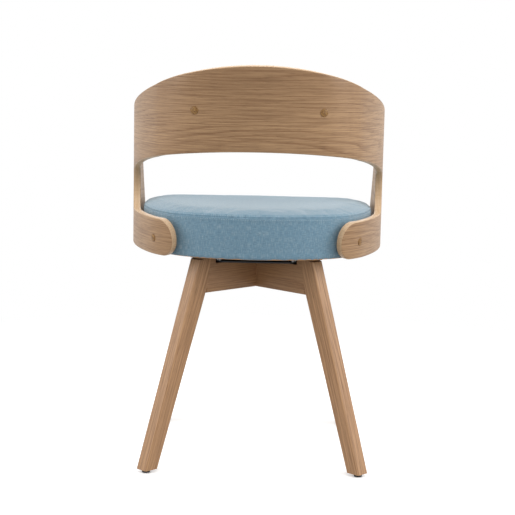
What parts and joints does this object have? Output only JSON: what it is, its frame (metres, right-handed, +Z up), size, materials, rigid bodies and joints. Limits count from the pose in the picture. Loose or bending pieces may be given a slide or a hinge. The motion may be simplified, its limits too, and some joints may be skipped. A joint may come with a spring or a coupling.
{
  "type": "swivel dining chair",
  "caption": "Dining chair whose upholstered seat and wrap-round bent-plywood back turn together on a four-leg crossed wooden base.",
  "frame": {"origin": "on the floor under the swivel's axis, which is also the centre of the chair's plan", "axes": "+Z up along the swivel's axis, the sitter faces -Y, the back rest is on the +Y side, +X is the sitter's left"},
  "size_m": [0.5038, 0.4956, 0.7494],
  "materials": {
    "oak_leg": "satin",
    "oak_rail": "satin",
    "oak_ply": "satin",
    "wood_cap": "satin",
    "plywood": "matt",
    "beech": "matt",
    "blue_fabric": "woven",
    "black_cloth": "matt",
    "foam": "open-cell foam",
    "black_plate": "satin black",
    "plain_steel": "zinc plated",
    "black_nylon": "matt"
  },
  "bodies": {
    "base": {"leg_rear_left": "oak_leg", "leg_rear_right": "oak_leg", "leg_front_right": "oak_leg", "leg_front_left": "oak_leg", "cross_rail_lower": "oak_rail", "cross_rail_upper": "oak_rail", "leg_dowels": "beech", "glide_rear_left": "black_nylon", "glide_rear_right": "black_nylon", "glide_front_right": "black_nylon", "glide_front_left": "black_nylon", "swivel_lower_plate": "black_plate", "race_ring_lower": "black_plate", "bearing_balls": "plain_steel", "ball_cage": "black_nylon", "kingpin": "plain_steel", "kingpin_washer": "plain_steel", "lower_plate_screws": "plain_steel"},
    "seat": {"swivel_upper_plate": "black_plate", "race_ring_upper": "black_plate", "upper_plate_bolts": "plain_steel", "seat_insert_nuts": "plain_steel", "seat_board": "plywood", "seat_rim": "beech", "mounting_blocks": "beech", "seat_foam": "foam", "seat_cover_band": "blue_fabric", "seat_cover_top": "blue_fabric", "dust_cover": "black_cloth", "back_shell": "oak_ply", "seat_screws": "plain_steel", "seat_screw_caps": "wood_cap", "rest_screws": "plain_steel", "rest_screw_caps": "wood_cap", "back_pad_board": "plywood", "back_pad_foam": "foam", "back_pad_cover": "blue_fabric"}
  },
  "joints": [
    {"name": "seat_swivel", "type": "hinge", "parent": "base", "child": "seat", "pos_m": [0, 0, 0.39], "axis": [0, 0, 1], "continuous": true}
  ]
}
